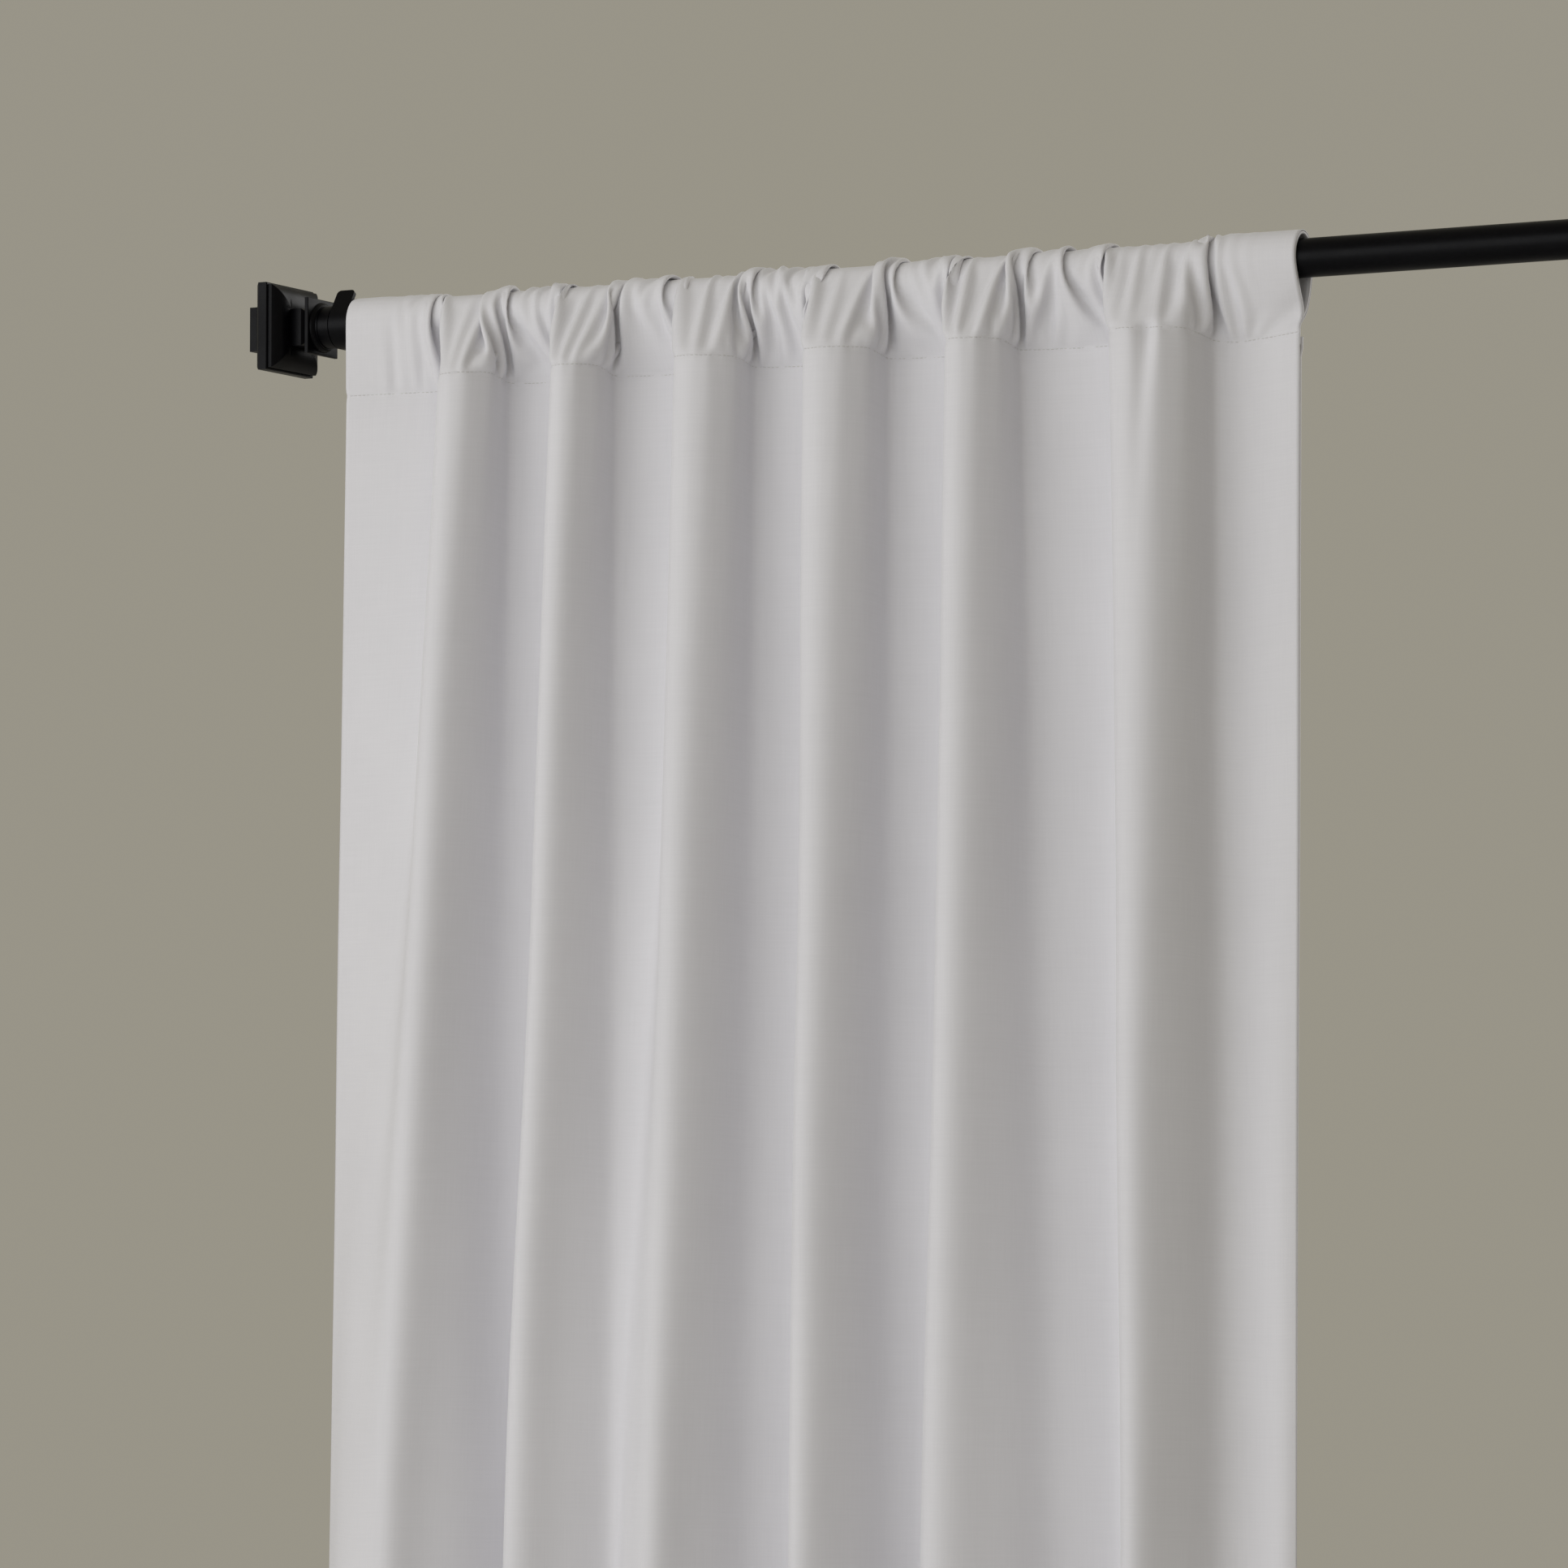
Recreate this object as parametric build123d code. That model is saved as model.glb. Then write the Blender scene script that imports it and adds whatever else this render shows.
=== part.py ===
from build123d import *
import math
import os

# Rod-pocket curtain panel, gathered on a round rod between two wall brackets.
# Millimetres. +X runs along the rod, +Y points to the wall, +Z is up.
# The origin is on the wall, midway between the brackets, at the height of the wall plates' middle.

# ---- driving dimensions: hardware ----
bracket_spacing = 914.4
projection = 89.0
rod_diameter = 25.4
rod_wall = 0.9
cradle_clearance = 0.3
strap_width = 14.0
strap_thickness = 2.8
lip_lean_deg = 33.0
lip_length = 19.4
tail_length = 34.0
arm_size = 12.0
arm_start_behind_rod = 10.0
plate_width = 26.0
plate_height = 76.0
plate_thickness = 3.2
plate_hole_spacing = 56.0
plate_hole_diameter = 5.0
screw_diameter = 4.0
screw_head_diameter = 7.0
screw_head_height = 2.2
screw_depth_in_arm = 8.0

# ---- driving dimensions: finial, outward from the middle of the cradle strap ----
collar_start = 8.0
collar_end = 18.0
collar_diameter = 29.4
ring_line_height = 0.6
flare_diameter = 35.0
plate_start = 21.0
plate_end = 24.0
finial_plate_side = 39.0
neck_start = 31.0
neck_end = 39.0
neck_side = 26.0
bead_start = 45.0
bead_side = 58.0
flange_start = 48.0
flange_end = 57.0
flange_side = 61.0
flange_bevel = 2.0
shoulder_side = 43.0
shoulder_end = 66.0
boss_side = 31.0
boss_end = 71.4
dome_height = 1.6
stud_diameter = 8.0
stud_reach = 51.0
plug_length = 15.0
stud_in_plug = 11.0

# ---- driving dimensions: curtain panel ----
panel_length = 2134.0
hung_width = 712.6
left_gap = 0.4
top_above_rod = 7.0
seam_below_axis = 50.0
seam_strip_height = 6.0
cloth_thickness = 3.0
pocket_wall = 3.0
pocket_slack = 2.4
hem_thickness = 3.0
side_hem_width = 38.0
bottom_hem_height = 102.0
fold_count = 6
fold_front = 36.0
fold_back = 14.0
flat_left = 62.0
flat_right = 46.0
body_gap = 0.3
weight_diameter = 26.0
weight_thickness = 2.0
weight_lift = 22.0
thread_size = 0.8
label_width = 30.0
label_height = 45.0
label_thickness = 0.5
label_above_hem = 60.0

# ---- places that follow from them ----
rod_radius = rod_diameter / 2
cradle_inner = rod_radius + cradle_clearance
cradle_outer = cradle_inner + strap_thickness
rod_y = -projection
rod_z = arm_size / 2 + strap_thickness + cradle_inner
half_spacing = bracket_spacing / 2
lip_angle = math.radians(lip_lean_deg)

panel_left = -half_spacing + strap_width / 2 + left_gap
panel_right = panel_left + hung_width
panel_top = rod_z + rod_radius + top_above_rod
panel_bottom = panel_top - panel_length
seam_z = rod_z - seam_below_axis
cloth_top = seam_z - seam_strip_height / 2
hem_top = panel_bottom + bottom_hem_height
hem_y = rod_y + cloth_thickness / 2


def side_name(side):
    return "left" if side < 0 else "right"


def along_x(radius, start, end, side=1):
    """A cylinder on the rod's axis, between two distances outward from a strap's middle."""
    middle = half_spacing + (start + end) / 2
    return Pos(side * middle, rod_y, rod_z) * Rot(0, 90, 0) * Cylinder(radius, end - start)


# ---------------------------------------------------------------- brackets
def wall_plate(side):
    """Upright plate against the wall, with one screw hole above the arm and one below it."""
    blank = RectangleRounded(plate_width, plate_height, 6)
    holes = GridLocations(0, plate_hole_spacing, 1, 2) * Circle(plate_hole_diameter / 2)
    plate = extrude(Plane.XZ * (blank - holes), plate_thickness)
    return Pos(side * half_spacing, 0, 0) * plate


def bracket_arm(side):
    """Square bar from the wall plate to just behind the rod, drilled for the cradle's screw."""
    front = rod_y + arm_start_behind_rod
    length = -plate_thickness - front
    bar = Pos(side * half_spacing, front + length / 2, 0) * Box(arm_size, length, arm_size)
    front_edges = bar.edges().group_by(Axis.Y)[0]
    bar = chamfer(front_edges, 0.8)
    return bar - screw_shank(side)


def screw_place(side):
    return Pos(side * half_spacing, rod_y + tail_length - 9, arm_size / 2)


def screw_shank(side):
    length = screw_depth_in_arm + strap_thickness
    drop = strap_thickness - length / 2
    return screw_place(side) * Pos(0, 0, drop) * Cylinder(screw_diameter / 2, length)


def cradle_screw(side):
    """Pan-head screw that holds the cradle strap's tail down on the arm."""
    head = Cylinder(screw_head_diameter / 2, screw_head_height)
    head = fillet(head.edges().group_by(Axis.Z)[-1], 0.8)
    slot = Pos(0, 0, screw_head_height / 2) * Box(screw_head_diameter, 1.0, 1.4)
    head = screw_place(side) * Pos(0, 0, strap_thickness + screw_head_height / 2) * (head - slot)
    return head + screw_shank(side)


def strap_outline():
    """Side view of the strap: flat tail, half turn round the rod, straight lip that leans back."""
    bottom = 1.5 * math.pi
    top = math.pi - lip_angle
    middle = (bottom + top) / 2
    lean = Vector(math.sin(lip_angle), math.cos(lip_angle))

    def on_circle(radius, angle):
        return Vector(radius * math.cos(angle), radius * math.sin(angle))

    inner_top = on_circle(cradle_inner, top)
    outer_top = on_circle(cradle_outer, top)
    inner_tip = inner_top + lean * lip_length
    outer_tip = outer_top + lean * lip_length
    edges = [
        Line((tail_length, -cradle_inner), (0, -cradle_inner)),
        ThreePointArc((0, -cradle_inner), on_circle(cradle_inner, middle), inner_top),
        Line(inner_top, inner_tip),
        Line(inner_tip, outer_tip),
        Line(outer_tip, outer_top),
        ThreePointArc(outer_top, on_circle(cradle_outer, middle), (0, -cradle_outer)),
        Line((0, -cradle_outer), (tail_length, -cradle_outer)),
        Line((tail_length, -cradle_outer), (tail_length, -cradle_inner)),
    ]
    return make_face(edges)


def cradle_strap(side):
    """Flat strap bent into a J: the rod lies in it and comes out up and back, along the lip."""
    across = Plane(origin=(0, 0, 0), x_dir=(0, 1, 0), z_dir=(1, 0, 0))
    strap = extrude(across * strap_outline(), strap_width / 2, both=True)
    lean = (0, math.sin(lip_angle), math.cos(lip_angle))
    tip_corners = [
        edge
        for edge in strap.edges()
        if abs(edge.length - strap_thickness) < 0.01 and edge.center().Z > cradle_outer
        and abs(edge.tangent_at(0).dot(Vector(lean))) < 0.1
    ]
    strap = fillet(tip_corners, 3.0)
    strap = Pos(side * half_spacing, rod_y, rod_z) * strap
    return strap - screw_shank(side)


# ---------------------------------------------------------------- rod and finials
def rod_tube():
    """One round tube that passes through both cradles into the finials' collars."""
    length = 2 * (half_spacing + collar_end)
    tube = Cylinder(rod_radius, length) - Cylinder(rod_radius - rod_wall, length)
    return Pos(0, rod_y, rod_z) * Rot(0, 90, 0) * tube


def end_plug(side):
    """Threaded plug pressed into the end of the tube."""
    plug = along_x(rod_radius - rod_wall, collar_end - plug_length, collar_end, side)
    return plug - finial_stud(side)


def finial_stud(side):
    """Threaded stud that joins the plug, the small plate and the finial's body."""
    return along_x(stud_diameter / 2, collar_end - stud_in_plug, stud_reach, side)


def finial_collar(side):
    """Sleeve over the end of the tube, with a raised ring at each edge."""
    sleeve = along_x(collar_diameter / 2, collar_start, collar_end, side)
    for start in (collar_start, collar_end - 1.2):
        sleeve += along_x(collar_diameter / 2 + ring_line_height, start, start + 1.2, side)
    return sleeve - along_x(rod_radius, collar_start, collar_end, side)


def square_moulding(outline, side):
    """A moulding that runs round a square: the part common to two crossed prisms of its outline."""
    half = make_face(outline)
    section = half + mirror(half, about=Plane.XZ)
    prism = extrude(section, flange_side, both=True)
    solid = prism & (Rot(90, 0, 0) * prism)
    solid = Pos(half_spacing, rod_y, rod_z) * solid
    return solid if side > 0 else mirror(solid, about=Plane.YZ)


def finial_plate(side):
    """Small square plate with a round flare towards the collar."""
    plate = square_moulding(
        Polyline(
            (plate_start, 0),
            (plate_start, finial_plate_side / 2 - 0.4),
            (plate_start + 0.4, finial_plate_side / 2),
            (plate_end - 0.4, finial_plate_side / 2),
            (plate_end, finial_plate_side / 2 - 0.4),
            (plate_end, 0),
            close=True,
        ).edges(),
        side,
    )
    edges = [
        Line((collar_end, 0), (collar_end, collar_diameter / 2)),
        RadiusArc((collar_end, collar_diameter / 2), (plate_start, flare_diameter / 2), 4.2),
        Line((plate_start, flare_diameter / 2), (plate_start, 0)),
        Line((plate_start, 0), (collar_end, 0)),
    ]
    flare = revolve(make_face(edges), Axis.X)
    flare = Pos(half_spacing, rod_y, rod_z) * flare
    if side < 0:
        flare = mirror(flare, about=Plane.YZ)
    return plate + flare - finial_stud(side)


def finial_body(side):
    """Square flange with a bead, a cove down to the square neck, and a foot on the small plate."""
    neck = neck_side / 2
    bead = bead_side / 2
    flange = flange_side / 2
    foot = finial_plate_side / 2 - 3
    edges = [
        Line((plate_end, 0), (plate_end, foot)),
        RadiusArc((plate_end, foot), (neck_start - 2, neck - 1.6), -9),
        Line((neck_start - 2, neck - 1.6), (neck_start, neck)),
        Line((neck_start, neck), (neck_end, neck)),
        RadiusArc((neck_end, neck), (bead_start, bead), 15),
        Line((bead_start, bead), (flange_start, bead)),
        Line((flange_start, bead), (flange_start, flange - 0.6)),
        Line((flange_start, flange - 0.6), (flange_start + 0.6, flange)),
        Line((flange_start + 0.6, flange), (flange_end - flange_bevel, flange)),
        Line((flange_end - flange_bevel, flange), (flange_end, flange - flange_bevel)),
        Line((flange_end, flange - flange_bevel), (flange_end, 0)),
        Line((flange_end, 0), (plate_end, 0)),
    ]
    return square_moulding(edges, side) - finial_stud(side)


def finial_cap(side):
    """Outer boss: concave shoulders up to a square block with a slightly domed face."""
    shoulder = shoulder_side / 2
    boss = boss_side / 2
    edges = [
        Line((flange_end, 0), (flange_end, shoulder)),
        RadiusArc((flange_end, shoulder), (shoulder_end, boss), -13),
        Line((shoulder_end, boss), (boss_end, boss)),
        RadiusArc((boss_end, boss), (boss_end + dome_height, 0), 76),
        Line((boss_end + dome_height, 0), (flange_end, 0)),
    ]
    return square_moulding(edges, side)


# ---------------------------------------------------------------- curtain panel
def fold_points(shift):
    """Crests of the folds, seen from above, from the flat left stretch to the flat right one."""
    start = panel_left + flat_left
    end = panel_right - flat_right
    pitch = (end - start) / fold_count
    points = [(start, rod_y + shift), (start + pitch / 8, rod_y + shift)]
    for fold in range(fold_count):
        points.append((start + pitch * (fold + 0.45), rod_y - fold_front + shift))
        if fold < fold_count - 1:
            points.append((start + pitch * (fold + 0.95), rod_y + fold_back + shift))
    return points + [(end - pitch / 8, rod_y + shift), (end, rod_y + shift)]


def cloth_curves(shift):
    """The cloth's line from above: flat side stretches with the folds between, moved to the wall."""
    points = fold_points(shift)
    return [
        Line((panel_left, rod_y + shift), points[0]),
        Spline(*points),
        Line(points[-1], (panel_right, rod_y + shift)),
    ]


def wavy_layer(near, far, low, high):
    """A layer that follows the folds, between two distances behind the cloth's middle."""
    left_end = Line((panel_left, rod_y + near), (panel_left, rod_y + far))
    right_end = Line((panel_right, rod_y + near), (panel_right, rod_y + far))
    edges = cloth_curves(near) + cloth_curves(far) + [left_end, right_end]
    return extrude(Pos(0, 0, low) * make_face(edges), high - low)


def between(left, right, low, high):
    """A tall block that keeps only one stretch of a layer."""
    depth = 4 * projection
    middle = Pos((left + right) / 2, rod_y, (low + high) / 2)
    return middle * Box(right - left, depth, high - low)


def face_cloth():
    """The panel's single layer of cloth, from the pocket's seam to its lower edge."""
    half = cloth_thickness / 2
    return wavy_layer(-half, half, panel_bottom, cloth_top)


def pocket_outline(grow):
    """Section of the pocket: round over the rod, drawn in to the seam below it."""
    radius = rod_radius + pocket_slack + grow
    bottom = -seam_below_axis + seam_strip_height / 2 + pocket_wall - grow
    half = max(grow / 2, 0.8)
    side_angle = math.radians(-12)
    side = (radius * math.cos(side_angle), radius * math.sin(side_angle))
    edges = [
        ThreePointArc((-side[0], side[1]), (0, radius), side),
        Line(side, (half, bottom)),
        Line((half, bottom), (-half, bottom)),
        Line((-half, bottom), (-side[0], side[1])),
    ]
    return make_face(edges)


def rod_pocket():
    """The top of the cloth, folded back over the rod and sewn down as an open-ended tunnel."""
    across = Plane(origin=(panel_left, rod_y, rod_z), x_dir=(0, 1, 0), z_dir=(1, 0, 0))
    loop = extrude(across * pocket_outline(top_above_rod - pocket_slack), hung_width)
    tunnel = extrude(across * pocket_outline(top_above_rod - pocket_slack - pocket_wall), hung_width)
    strip_middle = Pos((panel_left + panel_right) / 2, rod_y, seam_z)
    strip = strip_middle * Box(hung_width, 2 * pocket_wall, seam_strip_height)
    return loop - tunnel + strip


def pocket_seam_thread():
    """Row of stitches that closes the pocket, along the front of the seam."""
    place = Pos((panel_left + panel_right) / 2, rod_y - pocket_wall - thread_size / 2, seam_z)
    return place * Box(hung_width, thread_size, thread_size)


def side_hem_block(side, gap):
    """Flat strip behind one side edge of the cloth, the full height below the pocket."""
    edge = panel_left if side < 0 else panel_right
    middle = edge - side * side_hem_width / 2
    height = cloth_top - panel_bottom
    y_middle = hem_y + gap + hem_thickness / 2
    return Pos(middle, y_middle, panel_bottom + height / 2) * Box(side_hem_width, hem_thickness, height)


def hem_gap(side):
    return body_gap if side > 0 else 0.0


def hem_weight(side):
    """Round weight in the lower corner, between the cloth and the side hem."""
    edge = panel_left if side < 0 else panel_right
    middle = edge - side * side_hem_width / 2
    y_middle = hem_y + hem_gap(side) + weight_thickness / 2
    disc = Rot(90, 0, 0) * Cylinder(weight_diameter / 2, weight_thickness)
    return Pos(middle, y_middle, panel_bottom + weight_lift) * disc


def side_hem(side):
    """Turned side edge, hollowed at its lower corner for the weight."""
    return side_hem_block(side, hem_gap(side)) - hem_weight(side)


def side_hem_thread(side):
    """Row of stitches down the inner edge of a side hem."""
    edge = panel_left if side < 0 else panel_right
    x = edge - side * (side_hem_width - 3)
    y = hem_y + hem_gap(side) + hem_thickness + thread_size / 2
    height = cloth_top - panel_bottom
    return Pos(x, y, panel_bottom + height / 2) * Box(thread_size, thread_size, height)


def bottom_hem():
    """Turned lower edge, between the two side hems, behind the cloth."""
    half = cloth_thickness / 2
    left = panel_left + side_hem_width
    right = panel_right - side_hem_width - body_gap
    layer = wavy_layer(half, half + hem_thickness, panel_bottom, hem_top)
    return layer & between(left, right, panel_bottom, hem_top)


def bottom_hem_thread():
    """Row of stitches along the top of the bottom hem."""
    back = cloth_thickness / 2 + hem_thickness
    left = panel_left + side_hem_width
    right = panel_right - side_hem_width - body_gap
    low = hem_top - 4
    high = low + thread_size
    return wavy_layer(back, back + thread_size, low, high) & between(left, right, low, high)


def care_label():
    """Blank woven label, sewn to the back of the left side hem."""
    x = panel_left + side_hem_width / 2
    y = hem_y + hem_thickness + label_thickness / 2
    z = hem_top + label_above_hem
    return Pos(x, y, z) * Box(label_width, label_thickness, label_height)


single_pieces = {
    "rod_tube": rod_tube,
    "face_cloth": face_cloth,
    "rod_pocket": rod_pocket,
    "pocket_seam_thread": pocket_seam_thread,
    "bottom_hem": bottom_hem,
    "bottom_hem_thread": bottom_hem_thread,
    "care_label": care_label,
}

paired_pieces = {
    "wall_plate": wall_plate,
    "bracket_arm": bracket_arm,
    "cradle_strap": cradle_strap,
    "cradle_screw": cradle_screw,
    "end_plug": end_plug,
    "finial_stud": finial_stud,
    "finial_collar": finial_collar,
    "finial_plate": finial_plate,
    "finial_body": finial_body,
    "finial_cap": finial_cap,
    "side_hem": side_hem,
    "side_hem_thread": side_hem_thread,
    "hem_weight": hem_weight,
}

os.makedirs("parts", exist_ok=True)
for name, build in single_pieces.items():
    export_step(build(), f"parts/{name}.step")
for name, build in paired_pieces.items():
    for side in (-1, 1):
        export_step(build(side), f"parts/{name}_{side_name(side)}.step")
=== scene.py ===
import math

import bpy
import numpy as np
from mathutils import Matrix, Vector


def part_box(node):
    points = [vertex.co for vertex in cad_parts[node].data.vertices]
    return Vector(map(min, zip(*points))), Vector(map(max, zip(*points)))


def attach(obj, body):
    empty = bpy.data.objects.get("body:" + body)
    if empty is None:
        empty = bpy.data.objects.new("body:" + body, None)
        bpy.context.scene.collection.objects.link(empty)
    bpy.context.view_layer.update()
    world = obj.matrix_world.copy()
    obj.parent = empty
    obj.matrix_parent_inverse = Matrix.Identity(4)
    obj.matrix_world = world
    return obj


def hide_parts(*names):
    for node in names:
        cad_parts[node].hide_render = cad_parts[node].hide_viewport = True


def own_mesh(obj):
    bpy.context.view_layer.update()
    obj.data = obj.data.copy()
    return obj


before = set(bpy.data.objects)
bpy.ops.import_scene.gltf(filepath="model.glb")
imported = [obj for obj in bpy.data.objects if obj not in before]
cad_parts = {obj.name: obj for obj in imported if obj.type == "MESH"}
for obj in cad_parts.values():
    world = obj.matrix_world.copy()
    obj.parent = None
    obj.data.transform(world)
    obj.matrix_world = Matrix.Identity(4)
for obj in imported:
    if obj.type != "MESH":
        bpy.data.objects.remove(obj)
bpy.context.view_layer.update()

MM = 0.001

# ---------------------------------------------------------------- places, from the frame
rod_low, rod_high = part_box("rod_tube")
pocket_low, pocket_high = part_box("rod_pocket")
ROD_Y = (rod_low[1] + rod_high[1]) / 2
ROD_Z = (rod_low[2] + rod_high[2]) / 2
ROD_RADIUS = (rod_high[2] - rod_low[2]) / 2 / MM
PANEL_LEFT = pocket_low[0]
PANEL_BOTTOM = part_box("face_cloth")[0][2]

# ---------------------------------------------------------------- camera
CAMERA_PLACE = (1.8313, -3.7638, -0.5410)
CAMERA_YAW = 27.9
CAMERA_PITCH = 3.23
CAMERA_LENS = 143.31

camera_data = bpy.data.cameras.new("camera")
camera_data.lens = CAMERA_LENS
camera_data.sensor_width = 36.0
camera_data.clip_end = 100.0
camera = bpy.data.objects.new("camera", camera_data)
bpy.context.scene.collection.objects.link(camera)
camera.location = CAMERA_PLACE
camera.rotation_euler = (math.radians(90 + CAMERA_PITCH), 0, math.radians(CAMERA_YAW))
bpy.context.scene.camera = camera

# ---------------------------------------------------------------- the cloth, millimetres
# s runs along the rod from the panel's left edge; y is towards the wall and z is up, both from
# the rod's axis; u runs across the flat cloth, and v up it from the pocket's seam.
FLAT_WIDTH = 1270.0
LOOP_LENGTH = 160.0
THICKNESS = 0.8
HEM_HEIGHT = 102.0
SIDE_HEM_WIDTH = 38.0
SEAM_DROP = 49.0
LOW_DROP = 716.0
HEM_DROP = (ROD_Z - PANEL_BOTTOM) / MM
COLUMN = 2.4             # spacing of the sheet's points across
ROW = 2.7                # and round the pocket
BODY_ROW = 22.0          # and down the long body
SEAM_ROUNDING = 4.0      # how softly the corners turn at the seam
LOW_ROUNDING = 10.5      # and lower down, from this far below the seam
ROUNDING_RAMP = 380.0

# The cloth seen from above at three heights: the left edge, then each fold as the end of the flat
# cloth before it, its inner corner, left shoulder, right shoulder and foot, then the right edge.
# Points are (s, y, z) at the seam and (s, y) lower down.
SEAM_LEVEL = [
    (0, -14, -51),
    (66, -8, -51), (88, -3, -50), (84, -34, -44), (122, -24, -43), (125, -3, -48),
    (160, -3, -49), (179, -2, -48), (174, -35, -43), (206, -24, -43), (208, -3, -48),
    (250, -3, -49), (274, -3, -48), (268, -34, -42), (312, -24, -43), (315, -3, -48),
    (350, -3, -49), (371, -2, -48), (366, -35, -43), (411, -24, -43), (416, -3, -48),
    (454, -3, -49), (477, -2, -48), (471, -35, -43), (508, -24, -43), (513, -3, -48),
    (562, -3, -49), (593, -2, -48), (588, -33, -43), (641, -25, -44), (652, -3, -50),
    (668, -3, -52), (691, -5, -50), (713, -8, -48),
]
LOW_LEVEL = [
    (-37, 30),
    (2, -8), (24, -23), (46, -38), (77, -24), (108, 8),
    (126, 22), (132, 12), (144, -38), (177, -24), (204, 0),
    (220, -6), (228, -15), (250, -38), (282, -23), (302, 7),
    (336, 22), (344, 12), (357, -38), (391, -23), (408, 6),
    (434, 20), (442, 10), (456, -38), (497, -23), (524, 6),
    (573, 22), (581, 12), (595, -38), (627, -23), (648, 6),
    (668, 8), (694, -2), (704, 2),
]
HEM_LEVEL = [
    (-40, 32),
    (0, -9), (18, -24), (36, -38), (70, -20), (98, 16),
    (121, 26), (128, 13), (142, -38), (175, -21), (196, 14),
    (218, 18), (228, 6), (250, -38), (284, -21), (304, 14),
    (334, 26), (342, 13), (358, -38), (393, -21), (412, 14),
    (438, 24), (446, 12), (462, -38), (500, -20), (524, 16),
    (566, 26), (574, 13), (590, -38), (626, -20), (646, 16),
    (664, 12), (690, -4), (702, 2),
]
FOLDS = 6
FRONT_BULGE = ((7.5, 8.0), (8.0, 6.5), (8.0, 6.5))    # at each height, at a third and two thirds
BELLY = (0.03, 0.08, 0.08)                            # as a share of the flank


def with_curves(points, bulge, belly):
    """The same corners with three more in each fold: two on its rounded front, and one half way
    down its right flank, outside the straight line."""
    points = np.array(points, float)
    out = [points[0]]
    for first in range(1, 1 + 5 * FOLDS, 5):
        end, inner, left, right, foot = points[first:first + 5]
        front = [left * (1 - t) + right * t for t in (1 / 3, 2 / 3)]
        flank = (right + foot) / 2
        if len(flank) > 1:
            for place, rise in zip(front, bulge):
                place[1] -= rise
            run = foot - right
            flank[:2] += belly * np.array([run[1], -run[0]])
        out += [end, inner, left, *front, right, flank, foot]
    return np.array(out + list(points[1 + 5 * FOLDS:]))


LEVEL_DROPS = (SEAM_DROP, LOW_DROP, HEM_DROP)
LEVELS = [with_curves(*level) for level in zip((SEAM_LEVEL, LOW_LEVEL, HEM_LEVEL), FRONT_BULGE, BELLY)]
LEVEL_POINTS = [p[:, :2] for p in LEVELS]
LEVEL_LENGTHS = (1130.0, 1100.0, 1140.0)              # the cloth's line seen from above


def arcs(points):
    return np.concatenate([[0.0], np.cumsum(np.hypot(*np.diff(points[:, :2], axis=0).T))])


def smooth_rows(values, sigma):
    """Gaussian smoothing along the first axis; the ends are continued in a straight line."""
    reach = max(1, int(math.ceil(3 * sigma)))
    weights = np.exp(-0.5 * (np.arange(-reach, reach + 1) / sigma) ** 2)
    weights /= weights.sum()
    head = 2 * values[0] - values[reach:0:-1]
    tail = 2 * values[-1] - values[-2:-reach - 2:-1]
    padded = np.concatenate([head, values, tail])
    columns = [np.convolve(padded[:, k], weights, "valid") for k in range(values.shape[1])]
    return np.stack(columns, axis=1)


MARKS = np.mean([arcs(p) * FLAT_WIDTH / arcs(p)[-1] for p in LEVEL_POINTS], axis=0)
COLUMNS = int(round(FLAT_WIDTH / COLUMN)) + 1
U = np.linspace(0, FLAT_WIDTH, COLUMNS)


def corner_points(drop):
    """The corners at one drop: straight lines down to the middle level, then a curve that goes on
    in the same direction and ends upright at the hem."""
    seam, low, hem = LEVEL_POINTS
    slope = (low - seam) / (LOW_DROP - SEAM_DROP)
    if drop <= LOW_DROP:
        return seam + slope * (drop - SEAM_DROP)
    span = HEM_DROP - LOW_DROP
    t = (drop - LOW_DROP) / span
    return low + (hem - low) * t * t * (3 - 2 * t) + slope * span * t * (1 - t) ** 2


def plain_line(drop):
    """The cloth seen from above at one drop below the rod's axis, one point per column."""
    drop = min(max(drop, SEAM_DROP), HEM_DROP)
    points = corner_points(drop)
    sigma = SEAM_ROUNDING + (LOW_ROUNDING - SEAM_ROUNDING) * min(1.0, (drop - SEAM_DROP) / ROUNDING_RAMP)
    line = np.stack([np.interp(U, MARKS, points[:, c]) for c in (0, 1)], axis=1)
    return smooth_rows(line, sigma / COLUMN)


MIDDLE = -8.0             # the depth that deepening leaves in place
SIGHT_SLOPE = -math.tan(math.radians(CAMERA_YAW))


def deepen(line, factor):
    """Moves points along the photograph's line of sight, so that depth changes and outline stays."""
    extra = (line[:, 1] - MIDDLE) * (factor - 1)
    return np.stack([line[:, 0] + SIGHT_SLOPE * extra, line[:, 1] + extra], axis=1)


def depth_factor(drop):
    """How much deeper the folds are drawn, so that the line is as long as the cloth is wide."""
    line = plain_line(drop)
    target = np.interp(drop, LEVEL_DROPS, LEVEL_LENGTHS)
    low, high = 0.5, 2.0
    for _ in range(20):
        k = (low + high) / 2
        if arcs(deepen(line, k))[-1] < target:
            low = k
        else:
            high = k
    return k


KNOTS = np.array([SEAM_DROP, 80, 130, 200, 300, 450, LOW_DROP, 1100, 1600, HEM_DROP])
FACTORS = np.array([depth_factor(d) for d in KNOTS])


CREASE_MARK = 43          # the last fold's left shoulder; its own crease lies right of it
CREASE_AT = MARKS[CREASE_MARK] + 26.0
CREASE_WIDTH = 6.0
CREASE_LEAN = 0.06
CREASE_DEPTH = 7.0
CREASE_FADE = 48.0


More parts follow.
